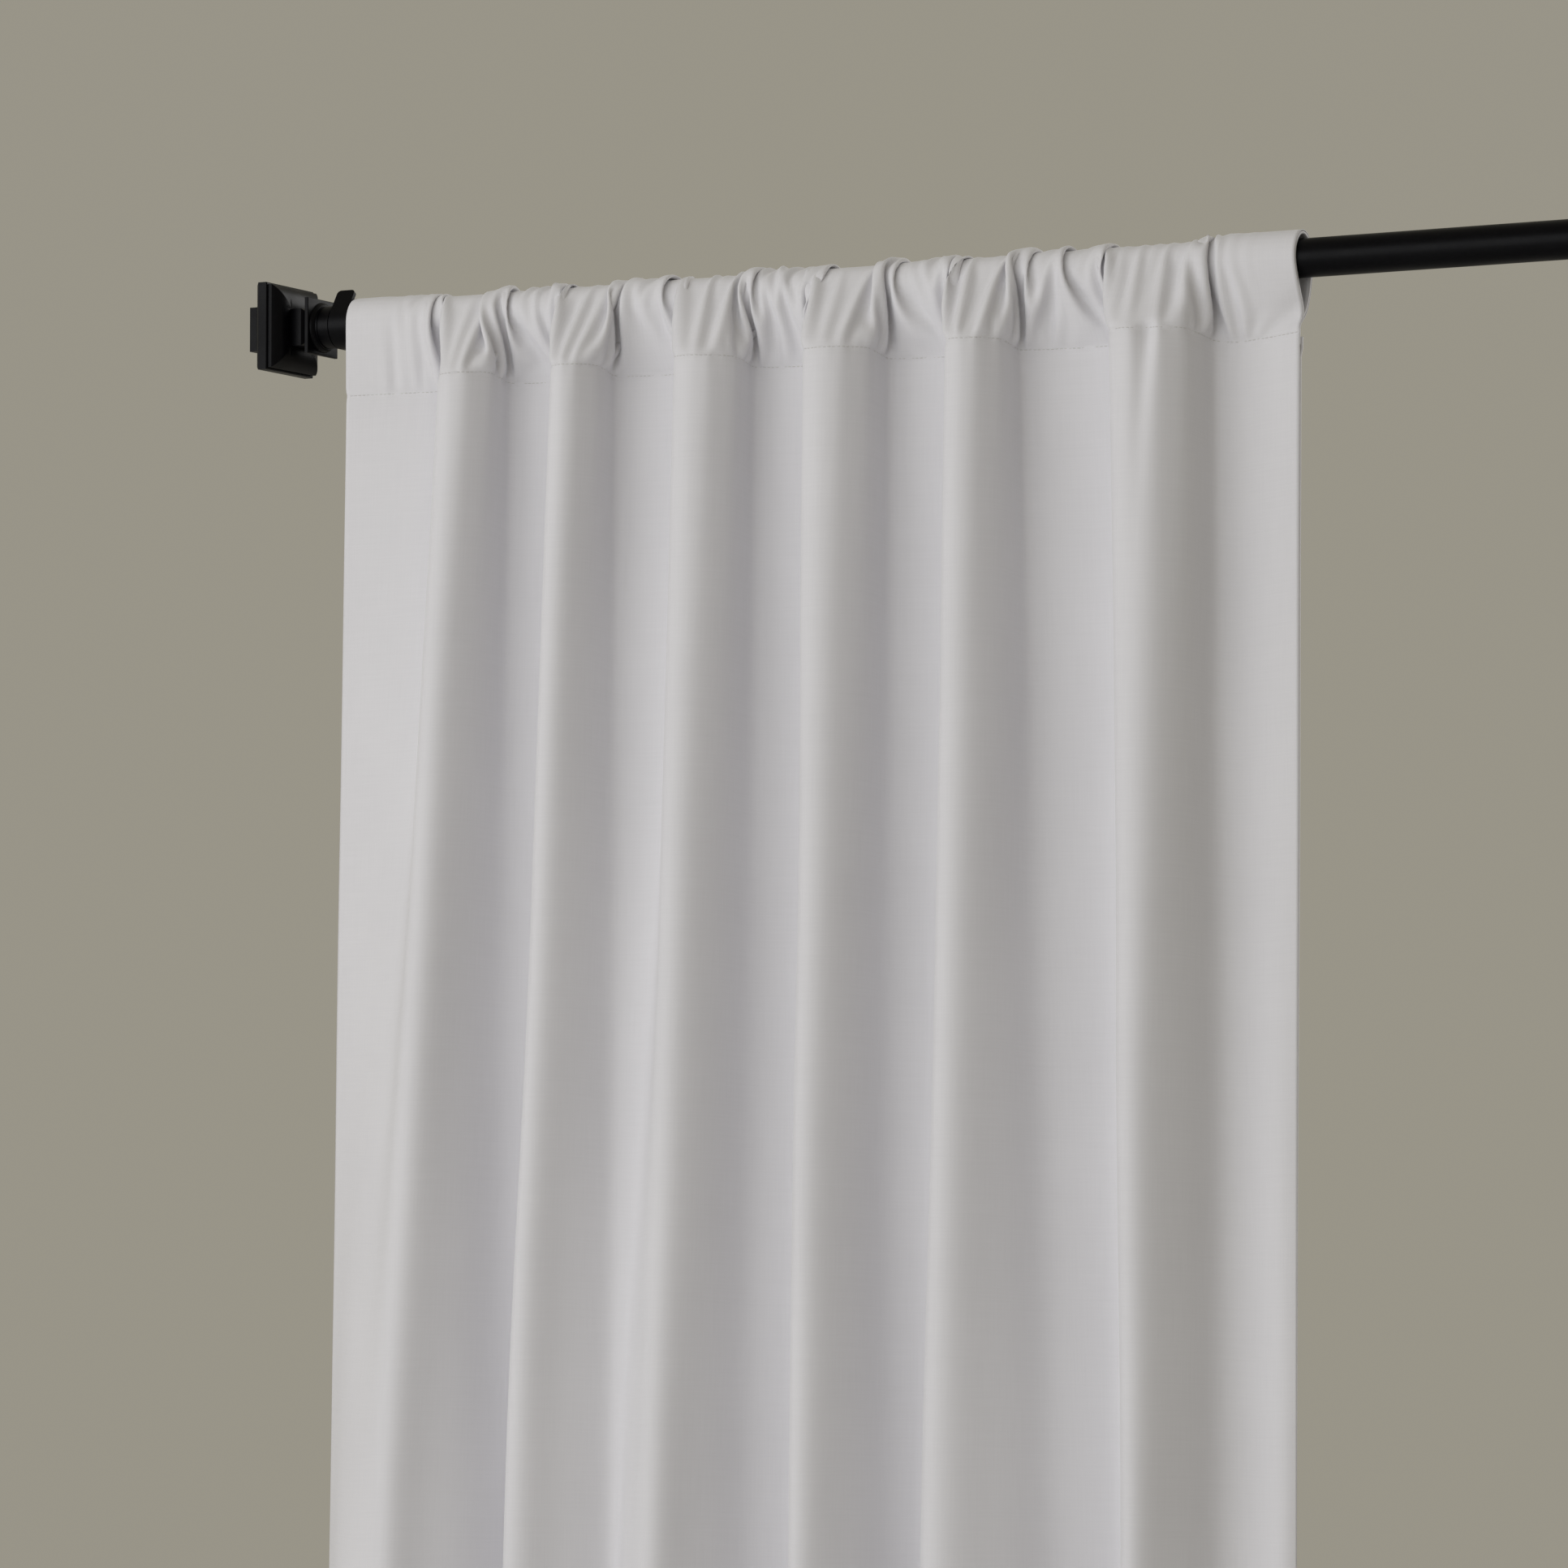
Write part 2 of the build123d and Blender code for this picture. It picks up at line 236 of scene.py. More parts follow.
def level_line(drop):
    line = deepen(plain_line(drop), np.interp(drop, KNOTS, FACTORS))
    below = max(0.0, drop - SEAM_DROP)
    across = (U - CREASE_AT + CREASE_LEAN * below) / CREASE_WIDTH
    line[:, 1] += CREASE_DEPTH * np.exp(-across ** 2) * math.exp(-below / CREASE_FADE)
    return line


SEAM_LINE = level_line(SEAM_DROP)
SEAM_Z = smooth_rows(np.interp(U, MARKS, LEVELS[0][:, 2])[:, None], 2.0)[:, 0]


def back_normals(line):
    tangent = np.gradient(line, axis=0)
    tangent /= np.hypot(*tangent.T)[:, None]
    return np.stack([-tangent[:, 1], tangent[:, 0]], axis=1)


def smoothstep(t):
    t = np.clip(t, 0, 1)
    return t * t * (3 - 2 * t)


# ---------------------------------------------------------------- the pocket round the rod
HELD_UP = 15.5            # how high the bunched cloth holds the pocket above the rod's axis
HELD_UP_ENDS = 18.8       # and at its stiff, smooth ends
END_WIDTH = 48.0          # how far from the left edge the stiff end reaches along the rod
RIGHT_END = 645.0         # where the right one starts
END_RAMP = 26.0
ALLOWANCE_ROWS = 3        # the folded-back cloth below the seam
LOOP_ROWS = int(round(LOOP_LENGTH / ROW))
POCKET_V = np.arange(-ALLOWANCE_ROWS, LOOP_ROWS + ALLOWANCE_ROWS + 1) * (LOOP_LENGTH / LOOP_ROWS)
LAYER_GAP = 1.6           # between the middles of the two layers at the seam
FORM_FADE = 700.0         # how fast the seam's ups and downs die out down the cloth


def body_row(below):
    """One row of the single cloth, at a distance down the cloth from the seam."""
    line = level_line(SEAM_DROP + below)
    level = math.exp(-below / FORM_FADE)
    z = SEAM_Z * level + SEAM_Z.mean() * (1 - level) - below
    return np.stack([line[:, 0], line[:, 1], z], axis=1)


# Where the same corners lie along the rod's top: the cloth of each fold's right flank is bunched
# close beside its crest.
ROD_MARKS = [
    0,
    62, 72, 86, 106, 118,
    143, 157, 184, 205, 217,
    234, 247, 274, 296, 307,
    335, 350, 377, 398, 410,
    437, 451, 478, 499, 511,
    540, 557, 594, 630, 648,
    668, 695, 713,
]


ROD_ROUNDING = 7.0


def rod_spread():
    """Where each column of the cloth lies along the rod's top."""
    marks = with_curves(np.array(ROD_MARKS)[:, None], (0, 0), 0)[:, 0]
    return smooth_rows(np.interp(U, MARKS, marks)[:, None], ROD_ROUNDING / COLUMN)[:, 0]


def end_share():
    """How far each column belongs to the pocket's stiff, smooth ends, from 0 to 1."""
    s = rod_spread()
    return smoothstep((END_WIDTH - s) / END_RAMP) + smoothstep((s - RIGHT_END) / END_RAMP)


def teardrop(y_seam, z_seam, length, steps):
    """A loop from the seam over the rod and back, as long as asked: two tangents and an arc."""
    reach = math.hypot(y_seam, z_seam)
    low, high = ROD_RADIUS + 0.8, 30.0
    for _ in range(30):
        radius = (low + high) / 2
        lean = math.acos(radius / reach)
        whole = 2 * math.sqrt(reach ** 2 - radius ** 2) + radius * (2 * math.pi - 2 * lean)
        if whole < length:
            low = radius
        else:
            high = radius
    straight = math.sqrt(reach ** 2 - radius ** 2)
    towards = math.atan2(z_seam, y_seam)
    start = towards - lean            # the front tangent's point on the circle
    q = np.linspace(0, whole, steps)
    out = np.empty((steps, 2))
    p0 = np.array([y_seam, z_seam])
    first = radius * np.array([math.cos(start), math.sin(start)])
    last_angle = start - (2 * math.pi - 2 * lean)
    last = radius * np.array([math.cos(last_angle), math.sin(last_angle)])
    for i, d in enumerate(q):
        if d <= straight:
            out[i] = p0 + (first - p0) * d / straight
        elif d >= whole - straight:
            out[i] = p0 + (last - p0) * (whole - d) / straight
        else:
            a = start - (d - straight) / radius
            out[i] = radius * math.cos(a), radius * math.sin(a)
    return out


RIPPLE_WIDTHS = (11, 13.5, 16, 19, 24)
RIPPLE_SCALE = 0.55
RIPPLE_GAIN = 0.09
RIPPLE_LEAN = 0.9
RIPPLE_TURN = 3.0


def pocket_start():
    """The pocket before it is simulated: loops round the rod with a fine unevenness."""
    rows = len(POCKET_V)
    start = np.zeros((rows, COLUMNS, 3))
    normals = back_normals(SEAM_LINE)
    along = rod_spread()
    loop = np.arange(LOOP_ROWS + 1) / LOOP_ROWS
    lift = np.sin(np.pi * loop) ** 0.8
    rng = np.random.default_rng(7)
    waves = [(width, rng.uniform(0, 2 * np.pi), rng.uniform(-RIPPLE_LEAN, RIPPLE_LEAN))
             for width in RIPPLE_WIDTHS]
    for i in range(COLUMNS):
        y, z = SEAM_LINE[i, 1], SEAM_Z[i]
        curve = teardrop(y, z, LOOP_LENGTH, LOOP_ROWS + 1)
        ripple = sum(np.sin(2 * np.pi * U[i] / width + phase + RIPPLE_TURN * lean * loop)
                     for width, phase, lean in waves) * RIPPLE_SCALE
        gain = 1 + lift * ripple * RIPPLE_GAIN
        inner = slice(ALLOWANCE_ROWS, ALLOWANCE_ROWS + LOOP_ROWS + 1)
        start[inner, i, 0] = SEAM_LINE[i, 0] * (1 - lift) + along[i] * lift
        start[inner, i, 1] = curve[:, 0] * gain
        start[inner, i, 2] = curve[:, 1] * gain
        start[ALLOWANCE_ROWS + LOOP_ROWS, i, :2] += normals[i] * LAYER_GAP
        start[ALLOWANCE_ROWS + LOOP_ROWS - 1, i, :2] += normals[i] * LAYER_GAP * 0.8
    for k in range(1, ALLOWANCE_ROWS + 1):
        below = -POCKET_V[ALLOWANCE_ROWS - k]
        row = body_row(below)
        start[ALLOWANCE_ROWS - k] = row
        behind = row.copy()
        behind[:, :2] += back_normals(row[:, :2]) * LAYER_GAP
        start[ALLOWANCE_ROWS + LOOP_ROWS + k] = behind
    return start


def grid_faces(rows, columns):
    a = (np.arange(rows - 1)[:, None] * columns + np.arange(columns - 1)[None, :]).ravel()
    return np.stack([a, a + 1, a + columns + 1, a + columns], axis=1)


def mesh_from(name, points, faces, uv=None):
    """A smooth-shaded mesh; faces are an array of quads or a list of index lists."""
    mesh = bpy.data.meshes.new(name)
    points = np.asarray(points, np.float32).reshape(-1, 3)
    mesh.vertices.add(len(points))
    mesh.vertices.foreach_set("co", points.ravel())
    if isinstance(faces, np.ndarray):
        flat = faces.ravel()
        sizes = np.full(len(faces), faces.shape[1])
    else:
        flat = np.concatenate([np.asarray(f) for f in faces])
        sizes = np.array([len(f) for f in faces])
    mesh.loops.add(len(flat))
    mesh.loops.foreach_set("vertex_index", flat.astype(np.int32))
    mesh.polygons.add(len(sizes))
    starts = np.concatenate([[0], np.cumsum(sizes)[:-1]]).astype(np.int32)
    mesh.polygons.foreach_set("loop_start", starts)
    mesh.polygons.foreach_set("use_smooth", np.ones(len(sizes), bool))
    if uv is not None:
        layer = mesh.uv_layers.new(name="cloth")
        layer.data.foreach_set("uv", np.asarray(uv, np.float32).reshape(-1, 2)[flat].ravel())
    mesh.update(calc_edges=True)
    mesh.validate()
    return mesh


def add_object(name, mesh):
    made = bpy.data.objects.new(name, mesh)
    bpy.context.scene.collection.objects.link(made)
    return made


# The pocket's cloth is simulated as points joined by lengths (position-based cloth). Across, the
# lengths start as short as the gathered state and grow to the real ones, as when a panel is
# pushed together along its rod; the rod, the pins at the seam and the cloth itself hold it.
STEPS = 520
PASSES = 6                # rounds of pulling the lengths right in each step
GROWN_BY = 0.72           # the share of the steps after which the lengths are real
CLOTH_APART = 2.1
LOOK_AHEAD = 2.2          # how much nearer than this two points may come between searches
SEARCH_EVERY = 8
ROD_CLEAR = ROD_RADIUS + 1.3
ROD_CLEAR_ENDS = ROD_RADIUS + 3.0   # the side hems lie between the cloth and the rod
PULL_DOWN = 0.0022
KEEP_SPEED = 0.94
LONGEST_MOVE = 0.55
EDGE_PULL = 0.46          # the share of a length's error that one pass takes away
SKEW_PULL = 0.12
BEND_NEAR = 0.02
BEND_FAR = 0.002
BEND_UP = 0.10
FAR_SLACK = 0.80
PUSH_APART = 0.45
END_HOLD = 0.2            # how firmly the stiff hems keep to their places along the rod
TINY = 1e-6


def close_pairs(points, reach, columns):
    """Pairs of points nearer than reach that are not neighbours on the cloth."""
    cell = np.floor(points / reach).astype(np.int64)
    cell -= cell.min(axis=0) - 1
    size = cell.max(axis=0) + 2
    key = (cell[:, 0] * size[1] + cell[:, 1]) * size[2] + cell[:, 2]
    order = np.argsort(key, kind="stable")
    sorted_key = key[order]
    steps = (-1, 0, 1)
    offsets = [(a * size[1] + b) * size[2] + c for a in steps for b in steps for c in steps]
    offsets = [o for o in offsets if o >= 0]
    found = []
    index = np.arange(len(points))
    for offset in offsets:
        first = np.searchsorted(sorted_key, key + offset, "left")
        last = np.searchsorted(sorted_key, key + offset, "right")
        for rank in range(int((last - first).max()) if len(first) else 0):
            at = first + rank
            fine = at < last
            a, b = index[fine], order[at[fine]]
            if offset == 0:
                half = a < b
                a, b = a[half], b[half]
            near = ((points[a] - points[b]) ** 2).sum(axis=1) < reach * reach
            a, b = a[near], b[near]
            apart = (np.abs(a // columns - b // columns) > 2) | (np.abs(a % columns - b % columns) > 2)
            found.append(np.stack([a[apart], b[apart]]))
    return np.concatenate(found, axis=1)


def pull(x, free, first, second, rest, share, only_short):
    """Moves pairs of points towards their rest length, or only apart where only_short is true."""
    d = x[second] - x[first]
    length = np.sqrt((d * d).sum(axis=-1)) + TINY
    amount = (length - rest) / length
    if only_short:
        amount = np.minimum(amount, 0)
    d *= (share * amount)[..., None]
    x[first] += d * free[first]
    x[second] -= d * free[second]


def simulate_pocket(start):
    """The pocket's points after the cloth has grown from its gathered lengths to the real ones."""
    rows, columns = start.shape[:2]
    x = start.astype(np.float32)
    old = x.copy()
    free = np.ones((rows, columns, 1), np.float32)
    free[:ALLOWANCE_ROWS + 1] = 0
    free[-ALLOWANCE_ROWS - 1:] = 0
    row_step = LOOP_LENGTH / LOOP_ROWS

    def shifted(dr, dc):
        """The two slices of the grid that are dr rows and dc columns apart."""
        if dc >= 0:
            c0, c1 = slice(0, columns - dc), slice(dc, columns)
        else:
            c0, c1 = slice(-dc, columns), slice(0, columns + dc)
        return (slice(0, rows - dr), c0), (slice(dr, rows), c1)

    links = []
    for dr, dc, share, short in (
        (0, 1, EDGE_PULL, False), (1, 0, EDGE_PULL, False),
        (1, 1, SKEW_PULL, False), (1, -1, SKEW_PULL, False),
        (0, 2, BEND_NEAR, True), (0, 4, BEND_FAR, True),
        (2, 0, BEND_UP, True), (4, 0, BEND_UP, True),
    ):
        a, b = shifted(dr, dc)
        now = np.sqrt(((x[b] - x[a]) ** 2).sum(axis=-1))
        want = math.hypot(dr * row_step, dc * COLUMN)
        if dc == 4:
            want *= FAR_SLACK
        links.append((a, b, now, np.float32(want), share, short))
    pairs = np.zeros((2, 0), int)
    at_end = end_share().astype(np.float32)[None, :]
    held_up = HELD_UP + (HELD_UP_ENDS - HELD_UP) * at_end
    clear = ROD_CLEAR + (ROD_CLEAR_ENDS - ROD_CLEAR) * at_end
    stiff = int(SIDE_HEM_WIDTH / COLUMN)
    middle_rows = slice(ALLOWANCE_ROWS + 1, rows - ALLOWANCE_ROWS - 1)
    ends_at = (U[:stiff].astype(np.float32) + ROD_MARKS[0],
               (U[-stiff:] - FLAT_WIDTH).astype(np.float32) + ROD_MARKS[-1])
    for step in range(STEPS):
        grown = min(1.0, step / (STEPS * GROWN_BY))
        grown = grown * grown * (3 - 2 * grown)
        move = (x - old) * KEEP_SPEED
        move[..., 2] -= PULL_DOWN
        speed = np.sqrt((move * move).sum(axis=-1, keepdims=True)) + 1e-9
        move *= np.minimum(1, LONGEST_MOVE / speed)
        old = x.copy()
        x += move * free
        if step % SEARCH_EVERY == 0:
            pairs = close_pairs(x.reshape(-1, 3), CLOTH_APART + LOOK_AHEAD, columns)
        for _ in range(PASSES):
            for a, b, now, want, share, short in links:
                pull(x, free, a, b, now + (want - now) * grown, share, short)
        flat = x.reshape(-1, 3)
        if pairs.shape[1]:
            a, b = pairs
            d = flat[b] - flat[a]
            length = np.sqrt((d * d).sum(axis=1)) + TINY
            push = PUSH_APART * np.maximum(0, CLOTH_APART - length) / length
            hit = push > 0
            a, b, d = a[hit], b[hit], d[hit] * push[hit][:, None]
            for k in range(3):
                pushed = np.bincount(b, d[:, k], len(flat)) - np.bincount(a, d[:, k], len(flat))
                flat[:, k] += pushed * free.reshape(-1)
        tall = np.where(x[..., 2] > 0, held_up, clear)
        radius = np.hypot(x[..., 1] / clear, x[..., 2] / tall)
        inside = (radius < 1) & (free[..., 0] > 0)
        out = (1 / np.maximum(radius, 1e-3))[inside]
        x[inside, 1] *= out
        x[inside, 2] *= out
        old[inside] += (x[inside] - old[inside]) * 0.5
        x[middle_rows, :stiff, 0] += END_HOLD * (ends_at[0] - x[middle_rows, :stiff, 0])
        x[middle_rows, -stiff:, 0] += END_HOLD * (ends_at[1] - x[middle_rows, -stiff:, 0])
        change = x - old
        far = np.sqrt((change * change).sum(axis=-1, keepdims=True)) + 1e-9
        x = old + change * np.minimum(1, 2.0 * LONGEST_MOVE / far)
    return x.astype(float)


start = pocket_start()
pocket = simulate_pocket(start)


# ---------------------------------------------------------------- the whole sheet
BODY_LENGTH = HEM_DROP + SEAM_Z.mean()
GAP = 0.40                # between the layers, so that they stay apart when the panel is gathered
HEM_THICKNESS = 1.6
DRAPE = 0.55
SEAM_PUCKER = 0.38
HEM_PUCKER = 0.3


def body_distances():
    """Distances below the seam at which the single cloth has rows, nearest first."""
    rows = [-POCKET_V[0]]
    while rows[-1] < BODY_LENGTH - HEM_HEIGHT - 20:
        rows.append(rows[-1] + np.interp(rows[-1], [0, 40, 300], [ROW, ROW, BODY_ROW]))
    low = np.linspace(BODY_LENGTH - HEM_HEIGHT, BODY_LENGTH, 11)
    return np.concatenate([rows[1:], low])


def soft_waves(seed, count, across, down):
    """A fixed sum of long waves over the flat cloth, for the small unevenness of hung fabric."""
    rng = np.random.default_rng(seed)
    waves = []
    for _ in range(count):
        ku = 2 * np.pi / rng.uniform(*across)
        kv = 2 * np.pi / rng.uniform(*down) * rng.choice([-1, 1])
        waves.append((ku, kv, rng.uniform(0, 2 * np.pi), rng.uniform(0.6, 1.0)))

    def height(u, v):
        return sum(a * np.sin(ku * u + kv * v + p) for ku, kv, p, a in waves) / math.sqrt(count)
    return height


def grid_normals(points):
    """Unit normals of a grid that run up and across, on the side that faces away from the room."""
    across = np.gradient(points, axis=1)
    up = np.gradient(points, axis=0)
    n = np.cross(up, across)
    return n / (np.linalg.norm(n, axis=2, keepdims=True) + 1e-12)


def settle(grid, times, fixed_rows):
    """Light smoothing of the simulated rows, which evens out the solver's point noise."""
    for _ in range(times):
        mean = grid.copy()
        mean[1:-1] = (grid[:-2] + grid[2:]) / 4 + grid[1:-1] / 2
        even = mean.copy()
        even[:, 1:-1] = (mean[:, :-2] + mean[:, 2:]) / 4 + mean[:, 1:-1] / 2
        even[:fixed_rows] = grid[:fixed_rows]
        even[-fixed_rows:] = grid[-fixed_rows:]
        grid = even
    return grid


pocket = settle(pocket, 1, ALLOWANCE_ROWS + 1)
below = body_distances()
body = np.stack([body_row(d) for d in below[::-1]])
sheet_points = np.concatenate([body, pocket])
sheet_v = np.concatenate([-below[::-1], POCKET_V])
UU, VV = np.meshgrid(U, sheet_v)
towards_wall = grid_normals(sheet_points)

unevenness = soft_waves(3, 9, (60, 170), (260, 900))
drape = unevenness(UU, VV) * DRAPE * np.clip(-VV / 250, 0, 1)
puckers = soft_waves(11, 7, (9, 21), (120, 200))
near_seam = np.exp(-np.abs(VV) / 7.0) * (VV < 45)
seam_set = 0.9 * np.exp(-(VV / 2.6) ** 2)
drape += near_seam * puckers(UU, VV) * SEAM_PUCKER + seam_set * (1 + 0.25 * puckers(UU + 40, VV))
near_hem = np.exp(-np.abs(VV + BODY_LENGTH - HEM_HEIGHT) / 8.0)
drape += near_hem * (puckers(UU * 0.6, VV) * HEM_PUCKER + 0.35)
sheet_points = sheet_points + towards_wall * drape[..., None]
towards_wall = grid_normals(sheet_points)
SEAM_INDEX = len(below) + ALLOWANCE_ROWS
BACK_SEAM_INDEX = SEAM_INDEX + LOOP_ROWS


def to_frame(points):
    out = np.asarray(points, float) * MM
    out[..., 0] += PANEL_LEFT
    out[..., 1] += ROD_Y
    out[..., 2] += ROD_Z
    return out


def slab(points, normals, start, depth):
    """A closed layer behind part of a grid: its front at start, its back at start + depth."""
    rows, columns = points.shape[:2]
    front = points + normals * np.asarray(start)[..., None]
    back = points + normals * (np.asarray(start) + np.asarray(depth))[..., None]
    verts = np.concatenate([front.reshape(-1, 3), back.reshape(-1, 3)])
    faces = grid_faces(rows, columns)
    count = rows * columns
    order = np.arange(count).reshape(rows, columns)
    rim = np.concatenate([order[0, :], order[1:, -1], order[-1, -2::-1], order[-2:0:-1, 0]])
    after = np.roll(rim, -1)
    sides = np.stack([after, rim, rim + count, after + count], axis=1)
    return verts, np.concatenate([faces, faces[:, ::-1] + count, sides])


def both_sides_uv(u, v):
    """The flat places of a slab's points, the same for its front and its back."""
    return np.tile(np.stack([u, v], axis=-1).reshape(-1, 2), (2, 1)) * MM


def join_shells(shells):
    verts, faces, base = [], [], 0
    for v, f in shells:
        verts.append(v)
        faces.append(f + base)
        base += len(v)
    return np.concatenate(verts), np.concatenate(faces)


sheet = add_object("curtain_cloth", mesh_from(
    "curtain_cloth", to_frame(sheet_points.reshape(-1, 3)),
    grid_faces(*sheet_points.shape[:2]), np.stack([UU, VV], axis=-1) * MM))
thickness = sheet.modifiers.new("thickness", "SOLIDIFY")
thickness.thickness = THICKNESS * MM
thickness.offset = -1.0
thickness.use_rim = True

# ---------------------------------------------------------------- turned hems
SIDE_COLUMNS = int(round(SIDE_HEM_WIDTH / COLUMN)) + 1
THIN_END = 0.12           # the loop's hem thins out to this at the pocket's seam
THIN_END_IN = 0.30


def side_hem(name, columns):
    """A turned side edge: one closed layer behind the body and one inside the pocket's loop."""
    u = UU[:, columns]
    v = VV[:, columns]
    points, normals = sheet_points[:, columns], towards_wall[:, columns]
    body_part = slice(0, SEAM_INDEX)
    behind_turn = smoothstep((v[body_part] + 16) / 5)
    start = THICKNESS + GAP + behind_turn * (LAYER_GAP + GAP)
    shells = [slab(points[body_part], normals[body_part], start, np.full_like(start, HEM_THICKNESS))]
    loop_part = slice(SEAM_INDEX + 1, BACK_SEAM_INDEX)
    room = smoothstep(np.minimum(v[loop_part], LOOP_LENGTH - v[loop_part]) / 16)
    shells.append(slab(points[loop_part], normals[loop_part],
                       THICKNESS - THIN_END_IN + (GAP + THIN_END_IN) * room,
                       THIN_END + (HEM_THICKNESS - THIN_END) * room))
    verts, faces = join_shells(shells)
    uv = np.concatenate([both_sides_uv(u[part], v[part]) for part in (body_part, loop_part)])
    return add_object(name, mesh_from(name, to_frame(verts), faces, uv))


left_columns = slice(0, SIDE_COLUMNS)
right_columns = slice(COLUMNS - SIDE_COLUMNS, COLUMNS)
side_hem_left = side_hem("side_hem_turn_left", left_columns)
side_hem_right = side_hem("side_hem_turn_right", right_columns)

HEM_ROWS = int(np.searchsorted(sheet_v, -BODY_LENGTH + HEM_HEIGHT + 0.5))
WEIGHT_RADIUS = 13.0
WEIGHT_THICKNESS = 2.0
WEIGHT_IN = 19.0
WEIGHT_UP = 22.0
hem_u, hem_v = UU[:HEM_ROWS], VV[:HEM_ROWS] + BODY_LENGTH
from_edge = np.minimum(hem_u, FLAT_WIDTH - hem_u)
over_side_hem = smoothstep((SIDE_HEM_WIDTH + 7 - from_edge) / 6)
hem_start = THICKNESS + GAP + over_side_hem * (HEM_THICKNESS + GAP)
weight_away = np.hypot(from_edge - WEIGHT_IN, hem_v - WEIGHT_UP)
bulge = smoothstep((WEIGHT_RADIUS + 7 - weight_away) / 6) * (WEIGHT_THICKNESS + 0.5)
hem_verts, hem_faces = slab(sheet_points[:HEM_ROWS], towards_wall[:HEM_ROWS], hem_start,
                            HEM_THICKNESS + bulge)
bottom_hem = add_object("bottom_hem_turn", mesh_from(
    "bottom_hem_turn", to_frame(hem_verts), hem_faces, both_sides_uv(hem_u, hem_v)))


def surface_point(u, v, row_range, off):
    """A point on part of the sheet at flat place (u, v), moved off it towards the wall."""
    rows = slice(*row_range)
    column = u / (U[1] - U[0])
    row = np.interp(v, sheet_v[rows], np.arange(*row_range))
    c0 = np.clip(np.floor(column).astype(int), 0, COLUMNS - 2)
    r0 = np.clip(np.floor(row).astype(int), row_range[0], row_range[1] - 2)
    fc, fr = (column - c0)[..., None], (row - r0)[..., None]

    def pick(grid):
        return ((grid[r0, c0] * (1 - fc) + grid[r0, c0 + 1] * fc) * (1 - fr)
                + (grid[r0 + 1, c0] * (1 - fc) + grid[r0 + 1, c0 + 1] * fc) * fr)
    n = pick(towards_wall)
    n /= np.linalg.norm(n, axis=-1, keepdims=True)
    return pick(sheet_points) + n * np.asarray(off)[..., None], n


BODY_RANGE = (0, SEAM_INDEX + 1)
LOOP_RANGE = (SEAM_INDEX, BACK_SEAM_INDEX + 1)


def weight_disc(name, u):
    """A round weight inside the bottom hem, its edges slightly softened."""
    centre, normal = surface_point(np.array([u]), np.array([-BODY_LENGTH + WEIGHT_UP]), BODY_RANGE,
                                   np.array([THICKNESS + 2 * GAP + HEM_THICKNESS + 0.7]))
    centre, normal = centre[0], normal[0]
    normal = normal * [1, 1, 0]
    normal /= np.linalg.norm(normal)
    side = np.array([normal[1], -normal[0], 0.0])
    up = np.array([0.0, 0.0, 1.0])
    turns = 48
    angles = np.arange(turns) * 2 * np.pi / turns
    half, soft = WEIGHT_THICKNESS / 2, 0.4
    profile = [(0.0, -half), (WEIGHT_RADIUS - soft, -half), (WEIGHT_RADIUS, -half + soft),
               (WEIGHT_RADIUS, half - soft), (WEIGHT_RADIUS - soft, half), (0.0, half)]
    verts = [centre + normal * profile[0][1]]
    for r, h in profile[1:-1]:
        verts.extend(centre + normal * h + side * r * np.cos(t) + up * r * np.sin(t) for t in angles)
    verts.append(centre + normal * profile[-1][1])
    last = len(verts) - 1
    faces = [[0, 1 + (j + 1) % turns, 1 + j] for j in range(turns)]
    for k in range(len(profile) - 3):
        b = 1 + k * turns
        faces += [[b + j, b + (j + 1) % turns, b + turns + (j + 1) % turns, b + turns + j]
                  for j in range(turns)]
    b = 1 + (len(profile) - 3) * turns
    faces += [[b + j, b + (j + 1) % turns, last] for j in range(turns)]
    return add_object(name, mesh_from(name, to_frame(np.array(verts)), faces))


weight_left = weight_disc("corner_weight_left", WEIGHT_IN)
weight_right = weight_disc("corner_weight_right", FLAT_WIDTH - WEIGHT_IN)

# ---------------------------------------------------------------- care label, blank
LABEL_WIDTH = 30.0
LABEL_LENGTH = 45.0
LABEL_THICKNESS = 0.35
LABEL_IN = 4.0
LABEL_ABOVE_HEM = 60.0
LABEL_STANDS_OFF = 2.6
LABEL_TOP = -BODY_LENGTH + HEM_HEIGHT + LABEL_ABOVE_HEM + LABEL_LENGTH / 2
label_u, label_v = np.meshgrid(np.linspace(LABEL_IN, LABEL_IN + LABEL_WIDTH, 11),
                               LABEL_TOP - np.linspace(LABEL_LENGTH, 0, 16))
hang = (LABEL_TOP - label_v) / LABEL_LENGTH
label_off = (THICKNESS + 2 * GAP + HEM_THICKNESS
             + LABEL_STANDS_OFF * hang ** 2 + 0.4 * np.sin(label_u / 5) * hang)
label_points, label_normals = surface_point(label_u, label_v, BODY_RANGE, label_off)
label_verts, label_faces = slab(label_points, label_normals, np.zeros_like(hang),
                                np.full_like(hang, LABEL_THICKNESS))
label = add_object("blank_care_label", mesh_from(
    "blank_care_label", to_frame(label_verts), label_faces, both_sides_uv(label_u, label_v)))

# ---------------------------------------------------------------- stitches
STITCH = 2.6
STITCH_PITCH = 3.2
THREAD_RADIUS = 0.26
THREAD_SINK = 0.35
THREAD_SIDES = 6
# Along each stitch: (place, thickness, height), so that both ends dip into the cloth.
STITCH_STATIONS = (
    (0.0, 0.45, -0.9), (0.18, 0.95, 0.0), (0.5, 1.0, 0.15), (0.82, 0.95, 0.0), (1.0, 0.45, -0.9),
)


